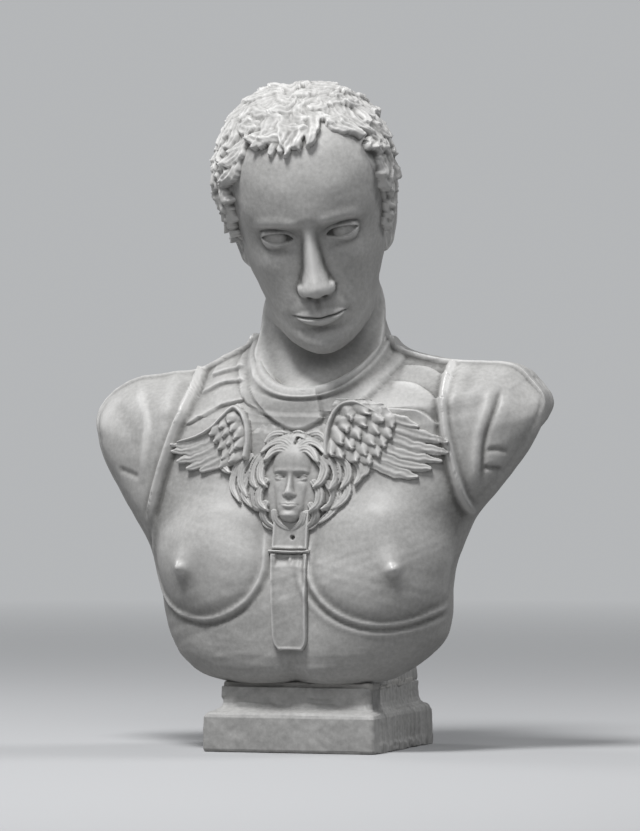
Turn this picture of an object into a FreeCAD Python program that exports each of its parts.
import FreeCAD, Part
import Sketcher
import math
import os

# A life-size marble bust in Roman cuirass, set on its own square base.
# Frame: +Z up, the bust looks along -Y, the viewer's right is +X, and the
# origin is the middle of the base's underside. Millimetres throughout.

SIZES = {
    # base
    "plinth_width": 170.0,
    "plinth_depth": 190.0,
    "plinth_height": 39.0,
    "plinth_round": 6.0,
    "waist_width": 150.0,
    "waist_depth": 150.0,
    "waist_height": 22.0,
    "waist_setback": 6.0,
    # bed of lime mortar between base and chest
    "bed_thickness": 4.0,
    "bed_inset": 4.0,
    # chest
    "chest_height": 330.0,
    "shoulder_width": 452.0,
    "chest_depth": 100.0,
    "shell_wall": 24.0,
    "prop_width": 96.0,
    "prop_back": 58.0,
    "relief": 6.0,
    "breast_spread": 105.0,
    "breast_width": 112.0,
    "breast_height": 118.0,
    "nipple_size": 6.5,
    "strap_width": 37.0,
    "strap_length": 150.0,
    # neck opening and neck
    "neck_width": 117.0,
    "neck_tilt": 24.0,
    "neck_shift": 5.0,
    "collar_width": 154.0,
    "collar_roll": 6.0,
    "tenon_depth": 70.0,
    "plaster_gap": 3.0,
    # head, carved looking down and towards its left shoulder
    "head_height": 226.0,
    "head_width": 155.0,
    "head_length": 192.0,
    "hair_thickness": 11.0,
    "head_shift": -5.0,
    "head_rise": 88.0,
    "head_nod": 18.0,
    "head_turn": 14.0,
    "head_lean": 7.0,
    # iron dowels run in with lead
    "base_dowel_width": 24.0,
    "base_dowel_length": 150.0,
    "neck_dowel_width": 16.0,
    "neck_dowel_length": 120.0,
    "dowel_chamfer": 2.0,
    "lead_thickness": 4.0,
    "dowel_end_gap": 3.0,
}

doc = FreeCAD.newDocument("MarbleBust")
sheet = doc.addObject("Spreadsheet::Sheet", "Sizes")
for row, (alias, length) in enumerate(SIZES.items(), start=1):
    sheet.set(f"A{row}", alias.replace("_", " "))
    sheet.set(f"B{row}", str(length))
    sheet.setAlias(f"B{row}", alias)
doc.recompute()


def size(alias):
    """The value of one named size."""
    return float(sheet.get(alias))


# ---------------------------------------------------------------- sketches and bodies

def new_body(name):
    body = doc.addObject("PartDesign::Body", name)
    body.Label = name
    return body


def origin_plane(body, role):
    return next(f for f in body.Origin.OriginFeatures if f.Role == role)


def new_sketch(body, name, role="XY_Plane", height="0"):
    """A sketch on one of the body's origin planes, raised along its normal."""
    sketch = body.newObject("Sketcher::SketchObject", name)
    sketch.AttachmentSupport = (origin_plane(body, role), "")
    sketch.MapMode = "FlatFace"
    sketch.setExpression("AttachmentOffset.Base.z", height)
    return sketch


def add_rectangle(sketch, width, depth, centre_y="0"):
    """A rectangle centred on X = 0, with its sides bound to sheet sizes."""
    corners = [(-10, -10), (10, -10), (10, 10), (-10, 10)]
    for (x0, y0), (x1, y1) in zip(corners, corners[1:] + corners[:1]):
        line = Part.LineSegment(FreeCAD.Vector(x0, y0, 0), FreeCAD.Vector(x1, y1, 0))
        sketch.addGeometry(line, False)
    for side in range(4):
        sketch.addConstraint(Sketcher.Constraint("Coincident", side, 2, (side + 1) % 4, 1))
    for side, way in ((2, "Horizontal"), (1, "Vertical"), (3, "Vertical")):
        sketch.addConstraint(Sketcher.Constraint(way, side))
    sketch.addConstraint(Sketcher.Constraint("Symmetric", 0, 1, 0, 2, -2))
    rules = (
        ("DistanceX", (0, 1, 0, 2), 20.0, width),
        ("DistanceY", (1, 1, 1, 2), 20.0, depth),
        ("DistanceY", (-1, 1, 2, 1), 10.0, f"({depth}) / 2 + ({centre_y})"),
    )
    for kind, where, start, expression in rules:
        index = sketch.addConstraint(Sketcher.Constraint(kind, *where, start))
        sketch.setExpression(f"Constraints[{index}]", expression)


def add_circle(sketch, radius):
    """A circle about the sketch's origin, with its radius bound to sheet sizes."""
    sketch.addGeometry(Part.Circle(FreeCAD.Vector(), FreeCAD.Vector(0, 0, 1), 5.0), False)
    sketch.addConstraint(Sketcher.Constraint("Coincident", 0, 3, -1, 1))
    index = sketch.addConstraint(Sketcher.Constraint("Radius", 0, 5.0))
    sketch.setExpression(f"Constraints[{index}]", radius)


def pad(body, name, sketch, length):
    feature = body.newObject("PartDesign::Pad", name)
    feature.Profile = sketch
    feature.setExpression("Length", length)
    return feature


def hole_through(body, name, radius, length, height):
    """A round hole about Z, cut upwards from the given height."""
    sketch = new_sketch(body, f"{name}_circle", height=height)
    add_circle(sketch, radius)
    pocket = body.newObject("PartDesign::Pocket", name)
    pocket.Profile = sketch
    pocket.Reversed = True
    pocket.setExpression("Length", length)
    return pocket


# heights that several pieces share
BED_FOOT = "Sizes.plinth_height + Sizes.waist_height"
CHEST_FOOT = f"{BED_FOOT} + Sizes.bed_thickness"
LEAD_RADIUS = "Sizes.base_dowel_width / 2 + Sizes.lead_thickness"
bed_foot = size("plinth_height") + size("waist_height")
chest_foot = bed_foot + size("bed_thickness")
DOWEL_FOOT = f"{BED_FOOT} + Sizes.bed_thickness / 2 - Sizes.base_dowel_length / 3"


# ---------------------------------------------------------------- base

def make_plinth():
    """A square block with softened arrises and a set-back waist, drilled for the dowel."""
    body = new_body("plinth")
    block_outline = new_sketch(body, "block_outline")
    add_rectangle(block_outline, "Sizes.plinth_width", "Sizes.plinth_depth")
    pad(body, "block", block_outline, "Sizes.plinth_height")
    doc.recompute()
    block = body.Tip
    top = size("plinth_height")
    soft = []
    for number, edge in enumerate(block.Shape.Edges, start=1):
        heights = [v.Z for v in edge.Vertexes]
        if max(heights) > top - 0.01:
            soft.append(f"Edge{number}")
    fillet = body.newObject("PartDesign::Fillet", "softened_arrises")
    fillet.Base = (block, soft)
    fillet.setExpression("Radius", "Sizes.plinth_round")
    doc.recompute()
    waist_outline = new_sketch(body, "waist_outline", height="Sizes.plinth_height")
    add_rectangle(waist_outline, "Sizes.waist_width", "Sizes.waist_depth", "Sizes.waist_setback")
    pad(body, "waist", waist_outline, "Sizes.waist_height")
    doc.recompute()
    hole_through(body, "dowel_hole", LEAD_RADIUS, "Sizes.base_dowel_length",
                 f"{DOWEL_FOOT} - Sizes.dowel_end_gap")
    return body


def make_mortar_bed():
    """The thin bed of lime mortar that the chest sits on, open round the dowel."""
    body = new_body("mortar_bed")
    outline = new_sketch(body, "bed_outline", height=BED_FOOT)
    add_rectangle(outline, "Sizes.waist_width - 2 * Sizes.bed_inset",
                  "Sizes.waist_depth - 2 * Sizes.bed_inset", "Sizes.waist_setback")
    pad(body, "bed", outline, "Sizes.bed_thickness")
    hole_through(body, "dowel_clearance", LEAD_RADIUS, "2 * Sizes.bed_thickness",
                 f"{BED_FOOT} - Sizes.bed_thickness / 2")
    return body


def make_dowel(name, width, length, foot):
    """A plain iron dowel standing on Z, chamfered at both ends."""
    body = new_body(name)
    outline = new_sketch(body, f"{name}_section", height=foot)
    add_circle(outline, f"{width} / 2")
    pad(body, f"{name}_bar", outline, length)
    doc.recompute()
    bar = body.Tip
    ends = [f"Edge{n}" for n, e in enumerate(bar.Shape.Edges, start=1)
            if isinstance(e.Curve, Part.Circle)]
    chamfer = body.newObject("PartDesign::Chamfer", f"{name}_chamfer")
    chamfer.Base = (bar, ends)
    chamfer.setExpression("Size", "Sizes.dowel_chamfer")
    return body


def make_lead(name, width, length, foot):
    """The lead run in round a dowel: a sleeve with the dowel's bore."""
    body = new_body(name)
    outline = new_sketch(body, f"{name}_section", height=foot)
    add_circle(outline, f"{width} / 2 + Sizes.lead_thickness")
    pad(body, f"{name}_fill", outline, length)
    doc.recompute()
    hole_through(body, f"{name}_bore", f"{width} / 2", length, foot)
    return body


# ---------------------------------------------------------------- sculpted sections

ARC_STEPS = 8  # spans of each section's arc


def power_arc(half_widths, depth, spread, start_y, height, exponent, steps):
    """Points of half a superellipse from its left end to its right end.

    x = w |cos t|^(2/n) and y = start + d |sin t|^(2/n), t from 180 to 0 degrees,
    with its own half width on each side and a height that may vary with spread.
    """
    left, right = half_widths
    points = []
    for step in range(steps + 1):
        turn = math.pi * (1 - step / steps)
        reach = abs(math.cos(turn)) ** (2 / exponent)
        x = -left * reach if math.cos(turn) < 0 else right * reach
        y = start_y + depth * abs(math.sin(turn)) ** (2 / exponent)
        points.append(FreeCAD.Vector(x + spread, y, height))
    return points


def spline_edge(points):
    curve = Part.BSplineCurve()
    curve.interpolate(points)
    return curve.toShape()


def wire_feature(name, edges):
    feature = doc.addObject("Part::Feature", name)
    feature.Shape = Part.Wire(edges)
    return feature


def oval_wire(name, half_widths, front, back, height, exponent=2.2, centre_x=0.0):
    """A closed section of two arcs that meet where the section is widest."""
    middle = (front + back) / 2
    front_arc = power_arc(half_widths, front - middle, centre_x, middle, height, exponent, ARC_STEPS)
    back_arc = power_arc(half_widths, back - middle, centre_x, middle, height, exponent, ARC_STEPS)
    edges = [spline_edge(front_arc), spline_edge(back_arc[::-1])]
    return wire_feature(name, edges)


def loft(name, sections):
    feature = doc.addObject("Part::Loft", name)
    feature.Sections = sections
    feature.Solid = True
    feature.Ruled = False
    return feature


def fused(name, shapes):
    feature = doc.addObject("Part::MultiFuse", name)
    feature.Shapes = shapes
    return feature


def cut(name, base, tool):
    feature = doc.addObject("Part::Cut", name)
    feature.Base = base
    feature.Tool = tool
    return feature


def common(name, shapes):
    feature = doc.addObject("Part::MultiCommon", name)
    feature.Shapes = shapes
    return feature


def ellipsoid(name, centre, radii, turn=0.0, axis=(0, 1, 0)):
    """An ellipsoid with centre and X, Y and Z radii given as expressions of sheet sizes."""
    feature = doc.addObject("Part::Ellipsoid", name)
    feature.Angle1, feature.Angle2, feature.Angle3 = -90, 90, 360
    for path, expression in zip(("Radius2", "Radius3", "Radius1"), radii):
        feature.setExpression(path, expression)
    feature.Placement.Rotation = FreeCAD.Rotation(FreeCAD.Vector(*axis), turn)
    for axis, expression in zip("xyz", centre):
        feature.setExpression(f"Placement.Base.{axis}", expression)
    return feature


# ---------------------------------------------------------------- chest

# Each station: share of chest height, left and right half width as shares of half the
# shoulder width, the side edge's y, the front's and the back's middle y as shares of the
# chest depth, and how far the cut side edge turns inwards (1) instead of backwards (0).
# A back of None is hollow: one wall behind the front, thickest at the breastbone.
CHEST_STATIONS = (
    (0.000, 0.370, 0.340, -0.30, -0.78, None, 1.0),
    (0.045, 0.505, 0.460, -0.28, -0.94, None, 1.0),
    (0.120, 0.585, 0.588, -0.24, -1.00, None, 1.0),
    (0.195, 0.637, 0.624, -0.22, -1.01, None, 1.0),
    (0.300, 0.680, 0.637, -0.20, -0.98, None, 1.0),
    (0.420, 0.740, 0.685, -0.17, -0.92, None, 1.0),
    (0.540, 0.845, 0.790, -0.13, -0.84, -0.40, 1.0),
    (0.640, 0.930, 0.900, -0.06, -0.76, 0.05, 0.8),
    (0.740, 0.985, 0.980, 0.00, -0.72, 0.55, 0.25),
    (0.830, 0.965, 1.000, 0.05, -0.70, 0.68, 0.0),
    (0.900, 0.800, 0.900, 0.07, -0.69, 0.68, 0.0),
    (0.950, 0.560, 0.640, 0.06, -0.68, 0.66, 0.0),
    (1.000, 0.330, 0.350, 0.03, -0.68, 0.60, 0.0),
)
EDGE_SHARE = 0.9  # the cut side edge's thickness as a share of the shell wall
MIDDLE_SHARE = 1.7  # the wall's thickness behind the breastbone as a share of the shell wall
CHEST_POWER = 2.3  # how square the sections are
CARVING_TUCK = 3.0


def chest_wire(name, station, swell):
    """One level of the chest: front arc, cut edge, back arc and cut edge.

    swell moves the front forwards and the sides outwards, for carving that stands proud.
    The carving's hidden sides are tucked inside the stone.
    """
    share, left, right, edge_y, front_y, back_y, inward = station
    half = size("shoulder_width") / 2
    depth = size("chest_depth")
    height = chest_foot + share * size("chest_height")
    tuck = CARVING_TUCK if swell else 0.0
    widths = (left * half + swell, right * half + swell)
    start = edge_y * depth - tuck
    front = front_y * depth - swell
    hollow_back = front_y * depth + size("shell_wall") * MIDDLE_SHARE
    back = (hollow_back if back_y is None else back_y * depth) - tuck
    thickness = size("shell_wall") * EDGE_SHARE
    front_arc = power_arc(widths, front - start, 0, start, height, CHEST_POWER, ARC_STEPS)
    back_start = start + thickness * (1 - inward)
    back_widths = [w - swell - tuck - thickness * inward for w in widths]
    back_arc = power_arc(back_widths, back - back_start, 0, back_start, height,
                         CHEST_POWER, ARC_STEPS)
    edges = [
        spline_edge(front_arc),
        Part.LineSegment(front_arc[-1], back_arc[-1]).toShape(),
        spline_edge(back_arc[::-1]),
        Part.LineSegment(back_arc[0], front_arc[0]).toShape(),
    ]
    return wire_feature(name, edges)


def chest_loft(name, swell=0.0):
    sections = [chest_wire(f"{name}_level_{n}", station, swell)
                for n, station in enumerate(CHEST_STATIONS)]
    return loft(name, sections)


PROP_ROOT = 0.66  # how far the prop's front lies inside the shell, as a share of chest depth


def make_prop():
    """The tapered prop left standing behind the hollowed chest, from the bed to the nape."""
    body = new_body("back_prop")
    foot = new_sketch(body, "prop_foot", height=CHEST_FOOT)
    add_rectangle(foot, "Sizes.waist_width - Sizes.bed_inset",
                  "Sizes.waist_depth - 4 * Sizes.bed_inset",
                  "Sizes.waist_setback + 1.5 * Sizes.bed_inset")
    head = new_sketch(body, "prop_head", height=f"{CHEST_FOOT} + 0.72 * Sizes.chest_height")
    root = f"{PROP_ROOT} * Sizes.chest_depth"
    add_rectangle(head, "Sizes.prop_width", f"Sizes.prop_back + {root}",
                  f"(Sizes.prop_back - {root}) / 2")
    feature = body.newObject("PartDesign::AdditiveLoft", "prop_taper")
    feature.Profile = foot
    feature.Sections = [head]
    feature.Ruled = True
    return body


def front_outline(name, edges):
    """A closed outline seen from the front, pushed back through the chest."""
    outline = doc.addObject("Part::Feature", f"{name}_outline")
    outline.Shape = Part.Wire(Part.__sortEdges__(edges))
    push = doc.addObject("Part::Extrusion", name)
    push.Base = outline
    push.DirMode = "Custom"
    push.Dir = FreeCAD.Vector(0, -1, 0)
    push.LengthFwd = 2 * size("chest_depth")
    push.Solid = True
    return push


def polygon(points):
    corners = [FreeCAD.Vector(x, 0, z) for x, z in points]
    return [Part.LineSegment(a, b).toShape() for a, b in zip(corners, corners[1:] + corners[:1])]


def strip(centre_line, width):
    """Edges of a band of one width that follows an arc through three points."""
    start, middle, end = (FreeCAD.Vector(x, 0, z) for x, z in centre_line)
    circle = Part.Arc(start, middle, end).toShape().Curve
    sides = []
    for offset in (width / 2, -width / 2):
        points = [circle.Center + (p - circle.Center).normalize() * (circle.Radius + offset)
                  for p in (start, middle, end)]
        sides.append(points)
    outer, inner = sides
    return [
        Part.Arc(*outer).toShape(),
        Part.LineSegment(outer[2], inner[2]).toShape(),
        Part.Arc(*inner[::-1]).toShape(),
        Part.LineSegment(inner[0], outer[0]).toShape(),
    ]


def feather(root, tip, width):
    """Edges of one feather: two straight sides that widen a little and a round tip."""
    start = FreeCAD.Vector(root[0], 0, root[1])
    end = FreeCAD.Vector(tip[0], 0, tip[1])
    along = (end - start).normalize()
    side = FreeCAD.Vector(-along.z, 0, along.x)
    narrow = side * (width * 0.32)
    wide = side * (width * 0.5)
    return [
        Part.LineSegment(start - narrow, start + narrow).toShape(),
        Part.LineSegment(start + narrow, end + wide).toShape(),
        Part.Arc(end + wide, end + along * (width * 0.5), end - wide).toShape(),
        Part.LineSegment(end - wide, start - narrow).toShape(),
    ]


def wing_feathers(way):
    """Outlines of one wing's long feathers and of the short ones that cover their roots."""
    crown = chest_foot + 0.845 * size("chest_height")
    shoulder_x = 44.0
    outlines = []
    for number in range(6):
        drop = number / 5
        root = (way * (shoulder_x + 4), crown - 8 - 26 * drop)
        tip = (way * (116 - 46 * drop), crown - 34 - 28 * drop)
        outlines.append(feather(root, tip, 11.0))
    for number in range(4):
        drop = number / 3
        root = (way * (shoulder_x - 2), crown - 2 - 30 * drop)
        tip = (way * (66 - 8 * drop), crown - 10 - 36 * drop)
        outlines.append(feather(root, tip, 13.0))
    return outlines


def make_relief():
    """The carved bands, strap and wings: outlines pushed through a slightly larger chest."""
    depth = size("chest_depth")
    half = size("shoulder_width") / 2
    top = chest_foot + size("chest_height")
    shapes = []
    strap_foot = chest_foot + 0.115 * size("chest_height")
    strap_top = strap_foot + size("strap_length")
    wide = size("strap_width") / 2
    strap = [
        Part.LineSegment(FreeCAD.Vector(wide, 0, strap_foot + wide * 0.5),
                         FreeCAD.Vector(wide, 0, strap_top)).toShape(),
        Part.LineSegment(FreeCAD.Vector(wide, 0, strap_top),
                         FreeCAD.Vector(-wide, 0, strap_top)).toShape(),
        Part.LineSegment(FreeCAD.Vector(-wide, 0, strap_top),
                         FreeCAD.Vector(-wide, 0, strap_foot + wide * 0.5)).toShape(),
        Part.Arc(FreeCAD.Vector(-wide, 0, strap_foot + wide * 0.5),
                 FreeCAD.Vector(0, 0, strap_foot),
                 FreeCAD.Vector(wide, 0, strap_foot + wide * 0.5)).toShape(),
    ]
    shapes.append(front_outline("strap", strap))
    for side, way in (("left", -1), ("right", 1)):
        piping = strip(((way * half * 0.56, top - 28), (way * half * 0.60, top - 92),
                        (way * half * 0.74, top - 172)), 9.0)
        shapes.append(front_outline(f"{side}_armhole_piping", piping))
        fold = strip(((way * half * 0.80, top - 40), (way * half * 0.78, top - 88),
                      (way * half * 0.80, top - 136)), 11.0)
        shapes.append(front_outline(f"{side}_sleeve_fold", fold))
        for number, edges in enumerate(wing_feathers(way)):
            shapes.append(front_outline(f"{side}_feather_{number}", edges))
    outlines = fused("relief_outlines", shapes)
    return common("relief_carving", [chest_loft("relief_surface", size("relief")), outlines])


def make_mask():
    """The winged mask: a plain oval face in a ring of hair, with a brow, a nose and lips."""
    foot = "(Sizes.plinth_height + Sizes.waist_height + Sizes.bed_thickness)"
    height = f"{foot} + 0.575 * Sizes.chest_height"
    front = "-0.80 * Sizes.chest_depth"
    hair = ellipsoid("mask_hair", ("0", front, f"{height} + 4"), ("41", "17", "46"))
    face = ellipsoid("mask_face", ("0", f"{front} - 6", height), ("23", "19", "29"))
    nose = ellipsoid("mask_nose", ("0", f"{front} - 23", height), ("2.6", "6", "9"))
    brow = ellipsoid("mask_brow", ("0", f"{front} - 18", f"{height} + 9"), ("14", "6.5", "2.5"))
    lips = ellipsoid("mask_lips", ("0", f"{front} - 19", f"{height} - 14"), ("6", "6", "2.2"))
    return [hair, face, nose, brow, lips]


BREAST_TURN = 24.0  # degrees that each breast faces outwards


def make_breasts():
    """The cuirass's two rounded breast forms with their nipples, flush inside the shell."""
    height = f"{CHEST_FOOT} + 0.350 * Sizes.chest_height"
    forms = []
    for side, way in (("left", -1), ("right", 1)):
        forms.append(ellipsoid(f"{side}_breast",
                               (f"{way} * Sizes.breast_spread", "-0.66 * Sizes.chest_depth", height),
                               ("Sizes.breast_width / 2", "0.25 * Sizes.chest_depth",
                                "Sizes.breast_height / 2"), way * BREAST_TURN, (0, 0, 1)))
        forms.append(ellipsoid(f"{side}_nipple",
                               (f"{way} * Sizes.breast_spread * 0.98", "-0.925 * Sizes.chest_depth",
                                height),
                               ("Sizes.nipple_size", "Sizes.nipple_size", "Sizes.nipple_size")))
    zone = chest_loft("breast_zone", size("breast_width") / 2)
    return [common("breasts", [zone, fused("breast_forms", forms)])]


# ---------------------------------------------------------------- neck

NECK_PLANE = f"{CHEST_FOOT} + 0.925 * Sizes.chest_height"
neck_plane = chest_foot + 0.925 * size("chest_height")

# Each level: height above the neck opening's plane, half width and half depth as shares of
# half the neck width, and the middle's y. Levels below the tenon's foot are left out.
NECK_LEVELS = (
    (-45.0, 0.80, 0.80, 5.0),
    (-25.0, 0.92, 0.92, 4.0),
    (0.0, 1.00, 1.00, 2.0),
    (30.0, 0.98, 1.00, -1.0),
    (62.0, 0.96, 0.98, 0.0),
    (98.0, 0.92, 0.94, -4.0),
)


def neck_loft(name, swell):
    """The neck down to its tapered tenon, with swell added all round and below."""
    half = size("neck_width") / 2
    foot = -size("tenon_depth") - swell
    levels = [(foot, 0.62, 0.62, 6.0)] + list(NECK_LEVELS)
    sections = []
    for number, (rise, wide, deep, y) in enumerate(levels):
        sections.append(oval_wire(
            f"{name}_level_{number}", (wide * half + swell,) * 2,
            y - deep * half - swell, y + deep * half + swell,
            neck_plane + rise, 2.0, size("neck_shift")))
    return loft(name, sections)


def tilted_disc(name, radius, thickness):
    """A disc whose underside lies in the neck opening's plane, lower at the front."""
    disc = doc.addObject("Part::Cylinder", name)
    disc.setExpression("Radius", radius)
    disc.Height = thickness
    disc.Placement.Rotation = FreeCAD.Rotation(FreeCAD.Vector(1, 0, 0), size("neck_tilt"))
    disc.setExpression("Placement.Base.x", "Sizes.neck_shift")
    disc.setExpression("Placement.Base.z", NECK_PLANE)
    return disc


def make_collar():
    """The rolled edge of the tunic round the neck."""
    ring = doc.addObject("Part::Torus", "collar_roll")
    ring.setExpression("Radius1", "Sizes.collar_width / 2 - Sizes.collar_roll")
    ring.setExpression("Radius2", "Sizes.collar_roll")
    ring.Placement.Rotation = FreeCAD.Rotation(FreeCAD.Vector(1, 0, 0), size("neck_tilt"))
    ring.setExpression("Placement.Base.x", "Sizes.neck_shift")
    ring.setExpression("Placement.Base.z", NECK_PLANE)
    return ring


# ---------------------------------------------------------------- head

# Each level in the head's own frame, from the eye line: height, half width, front y and back y,
# as shares of the head's height, half its width, and its length in front of and behind the ears.
HEAD_LEVELS = (
    (-0.500, 0.26, -0.88, -0.64),
    (-0.460, 0.42, -0.96, -0.40),
    (-0.400, 0.57, -0.97, -0.12),
    (-0.325, 0.70, -0.98, 0.13),
    (-0.240, 0.79, -0.97, 0.55),
    (-0.130, 0.88, -0.94, 0.75),
    (-0.010, 0.94, -0.93, 0.92),
    (0.120, 1.00, -0.98, 1.00),
    (0.240, 0.98, -0.93, 1.00),
    (0.340, 0.87, -0.80, 0.89),
    (0.430, 0.68, -0.58, 0.66),
    (0.487, 0.34, -0.23, 0.35),
    (0.504, 0.12, 0.00, 0.15),
)
NOSE_LEVELS = (
    (0.030, 0.07, -0.960),
    (-0.065, 0.11, -1.065),
    (-0.150, 0.16, -1.170),
    (-0.200, 0.22, -1.200),
    (-0.232, 0.18, -1.080),
)


def head_loft(name, swell, lowest=-1.0):
    """The head's ovals from lowest upwards, swollen evenly for the hair."""
    half = size("head_width") / 2
    reach = size("head_length") / 2
    sections = []
    for number, (rise, wide, front, back) in enumerate(HEAD_LEVELS):
        if rise < lowest:
            continue
        lift = swell * max(0.0, rise) * 2
        sections.append(oval_wire(
            f"{name}_level_{number}", (wide * half + swell,) * 2,
            front * reach - swell, back * reach + swell,
            rise * size("head_height") + lift))
    return loft(name, sections)


def make_nose():
    half = size("head_width") / 2
    reach = size("head_length") / 2
    root = -0.80 * reach
    sections = [oval_wire(f"nose_level_{n}", (wide * half,) * 2, front * reach, root,
                          rise * size("head_height"), 2.0)
                for n, (rise, wide, front) in enumerate(NOSE_LEVELS)]
    return loft("nose", sections)


# The hairline from the left jaw over the brow to the right jaw: x as shares of half the
# width over the hair, z as shares of the head's height.
HAIRLINE = (
    (-1.05, -0.62), (-1.05, -0.22), (-0.87, -0.06), (-0.83, 0.12), (-0.68, 0.30), (-0.50, 0.335),
    (-0.40, 0.27), (-0.15, 0.235), (0.10, 0.26), (0.20, 0.34), (0.45, 0.36), (0.70, 0.27),
    (0.85, 0.10), (0.87, -0.06), (1.05, -0.22), (1.05, -0.62),
)


def face_window():
    """What the hair leaves free, pushed back to the ears: high temples and a forelock."""
    half = size("head_width") / 2 + size("hair_thickness")
    points = [FreeCAD.Vector(x * half, 0, z * size("head_height")) for x, z in HAIRLINE]
    curve = Part.BSplineCurve()
    curve.interpolate(points, True)
    window = front_outline("face_window", [curve.toShape()])
    window.LengthFwd = size("head_length")
    window.Placement.Base.y = -0.10 * size("head_length")
    return window


def face_details():
    """Brows, eyes, lips, chin and ears of a calm, evenly proportioned face."""
    half = "Sizes.head_width / 2"
    reach = "Sizes.head_length / 2"
    tall = "Sizes.head_height"
    forms = [
        ellipsoid("upper_lip", ("0", f"-0.955 * {reach}", f"-0.293 * {tall}"),
                  (f"0.31 * {half}", f"0.075 * {reach}", f"0.022 * {tall}")),
        ellipsoid("lower_lip", ("0", f"-0.950 * {reach}", f"-0.335 * {tall}"),
                  (f"0.26 * {half}", f"0.080 * {reach}", f"0.024 * {tall}")),
        ellipsoid("chin", ("0", f"-0.880 * {reach}", f"-0.447 * {tall}"),
                  (f"0.27 * {half}", f"0.120 * {reach}", f"0.050 * {tall}")),
    ]
    sockets = []
    for side, sign, turn in (("left", "-1", 8.0), ("right", "1", -8.0)):
        x = f"{sign} * 0.42 * {half}"
        forms.append(ellipsoid(f"{side}_eye", (x, f"-0.770 * {reach}", "0"),
                               (f"0.175 * {half}", f"0.130 * {reach}", f"0.042 * {tall}")))
        forms.append(ellipsoid(f"{side}_ear", (f"{sign} * 0.97 * {half}", f"0.10 * {reach}",
                                               f"-0.080 * {tall}"),
                               (f"0.13 * {half}", f"0.17 * {reach}", f"0.135 * {tall}"),
                               turn))
        sockets.append(ellipsoid(f"{side}_socket", (x, f"-0.990 * {reach}", f"0.004 * {tall}"),
                                 (f"0.27 * {half}", f"0.160 * {reach}", f"0.058 * {tall}")))
    return forms, sockets


HEAD_SEAT_Y = 8.0


def make_head_and_neck():
    """Head, hair and neck, carved in one with the tenon that drops into the chest."""
    skull = head_loft("skull", 0.0)
    hair_volume = head_loft("hair_volume", size("hair_thickness"), lowest=-0.30)
    hair = cut("hair", hair_volume, face_window())
    forms, sockets = face_details()
    carved_skull = cut("carved_skull", skull, fused("sockets", sockets))
    head = fused("head", [carved_skull, hair, make_nose()] + forms)
    doc.recompute()
    # the head tips about the top of the neck
    pivot = FreeCAD.Vector(0, 0.13 * size("head_length") / 2, -0.267 * size("head_height"))
    seat = FreeCAD.Vector(size("neck_shift") + size("head_shift"), HEAD_SEAT_Y,
                          neck_plane + size("head_rise"))
    nod = FreeCAD.Rotation(FreeCAD.Vector(1, 0, 0), size("head_nod"))
    lean = FreeCAD.Rotation(FreeCAD.Vector(0, 1, 0), -size("head_lean"))
    turn = FreeCAD.Rotation(FreeCAD.Vector(0, 0, 1), size("head_turn"))
    pose = turn.multiply(lean).multiply(nod)
    head.Placement = FreeCAD.Placement(seat - pose.multVec(pivot), pose)
    neck = neck_loft("neck", 0.0)
    return fused("head_with_neck", [head, neck]), neck


# ---------------------------------------------------------------- assembly

NECK_FOOT = f"{NECK_PLANE} - Sizes.tenon_depth"
NECK_DOWEL_FOOT = f"{NECK_FOOT} - Sizes.neck_dowel_length / 2"


def dowel_void(name, width, length, foot):
    """The drilled hole for a dowel, its lead and the gap at both its ends."""
    drill = doc.addObject("Part::Cylinder", name)
    drill.setExpression("Radius", f"{width} / 2 + Sizes.lead_thickness")
    drill.setExpression("Height", f"{length} + 2 * Sizes.dowel_end_gap")
    drill.setExpression("Placement.Base.x", "0")
    drill.setExpression("Placement.Base.z", f"{foot} - Sizes.dowel_end_gap")
    return drill


def make_chest(prop, neck_void):
    """The hollow-backed chest with its carving, open for the neck and drilled for both dowels."""
    opening = tilted_disc("neck_opening", "Sizes.collar_width / 2 - Sizes.collar_roll",
                          size("chest_height") / 3)
    block = cut("chest_block", fused("shell_and_prop", [chest_loft("chest_surface"), prop]),
                opening)
    carving = (("breasts", make_breasts()), ("mask", make_mask()), ("collar", [make_collar()]),
               ("relief", [make_relief()]))
    for stage, forms in carving:
        block = fused(f"chest_with_{stage}", [block] + forms)
    voids = (
        neck_void,
        dowel_void("base_dowel_void", "Sizes.base_dowel_width", "Sizes.base_dowel_length",
                   DOWEL_FOOT),
        dowel_void("chest_neck_dowel_void", "Sizes.neck_dowel_width",
                   "Sizes.neck_dowel_length", NECK_DOWEL_FOOT),
    )
    for number, void in enumerate(voids, start=1):
        block = cut(f"chest_opened_{number}", block, void)
    return block


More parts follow.
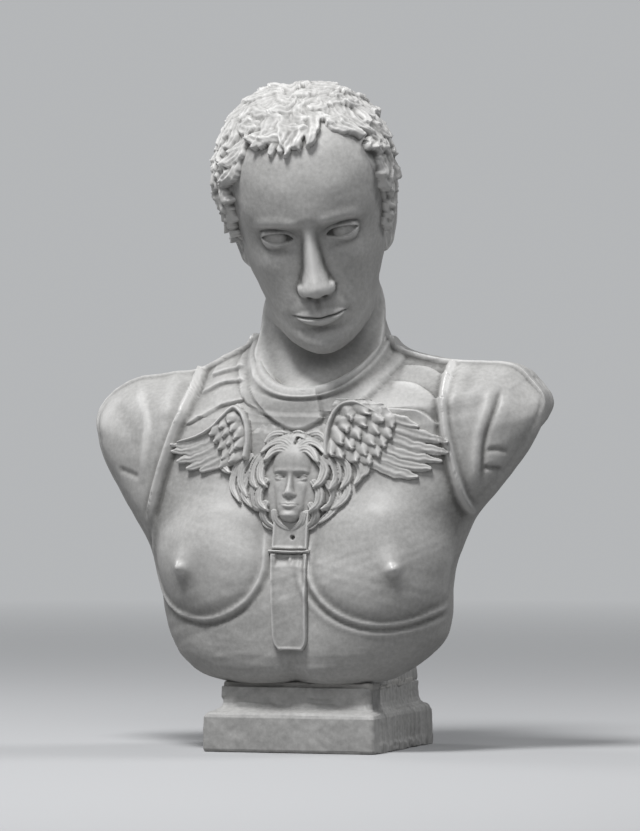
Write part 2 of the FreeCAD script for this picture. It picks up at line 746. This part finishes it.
def make_neck_plaster(neck_void, neck):
    """The plaster lining between tenon and socket, trimmed at the neck opening."""
    trim = tilted_disc("plaster_trim", "Sizes.collar_width", size("chest_height"))
    drill = dowel_void("plaster_dowel_void", "Sizes.neck_dowel_width",
                       "Sizes.neck_dowel_length", NECK_DOWEL_FOOT)
    return cut("neck_plaster", neck_void, fused("plaster_voids", [neck, trim, drill]))


def build():
    """Every piece by node name, bottom to top."""
    prop = make_prop()
    neck_void = neck_loft("neck_void", size("plaster_gap"))
    head, neck = make_head_and_neck()
    drill = dowel_void("head_dowel_void", "Sizes.neck_dowel_width",
                       "Sizes.neck_dowel_length", NECK_DOWEL_FOOT)
    base = ("Sizes.base_dowel_width", "Sizes.base_dowel_length", DOWEL_FOOT)
    top = ("Sizes.neck_dowel_width", "Sizes.neck_dowel_length", NECK_DOWEL_FOOT)
    return {
        "plinth": make_plinth(),
        "mortar_bed": make_mortar_bed(),
        "base_dowel": make_dowel("base_dowel", *base),
        "base_dowel_lead": make_lead("base_dowel_lead", *base),
        "chest": make_chest(prop, neck_void),
        "neck_plaster": make_neck_plaster(neck_void, neck),
        "neck_dowel": make_dowel("neck_dowel", *top),
        "neck_dowel_lead": make_lead("neck_dowel_lead", *top),
        "head_and_neck": cut("head_and_neck", head, drill),
    }


def check_and_write(pieces):
    """Stops on any failed feature, then writes each piece to parts/NODE.step."""
    failed = [o.Name for o in doc.Objects if {"Invalid", "Error"} & set(o.State)]
    if failed:
        raise RuntimeError(f"failed features: {failed}")
    for node, piece in pieces.items():
        shape = piece.Shape
        if shape.isNull() or not shape.isValid() or not shape.Solids:
            raise RuntimeError(f"{node} has no valid solid")
    os.makedirs("parts", exist_ok=True)
    for node, piece in pieces.items():
        piece.Label = node
        piece.Shape.exportStep(f"parts/{node}.step")
        box = piece.Shape.BoundBox
        print(f"{node}: {len(piece.Shape.Solids)} solid, {piece.Shape.Volume / 1000:.0f} cm3, "
              f"X {box.XMin:.0f}..{box.XMax:.0f} Y {box.YMin:.0f}..{box.YMax:.0f} "
              f"Z {box.ZMin:.0f}..{box.ZMax:.0f}")


parts = build()
doc.recompute()
check_and_write(parts)
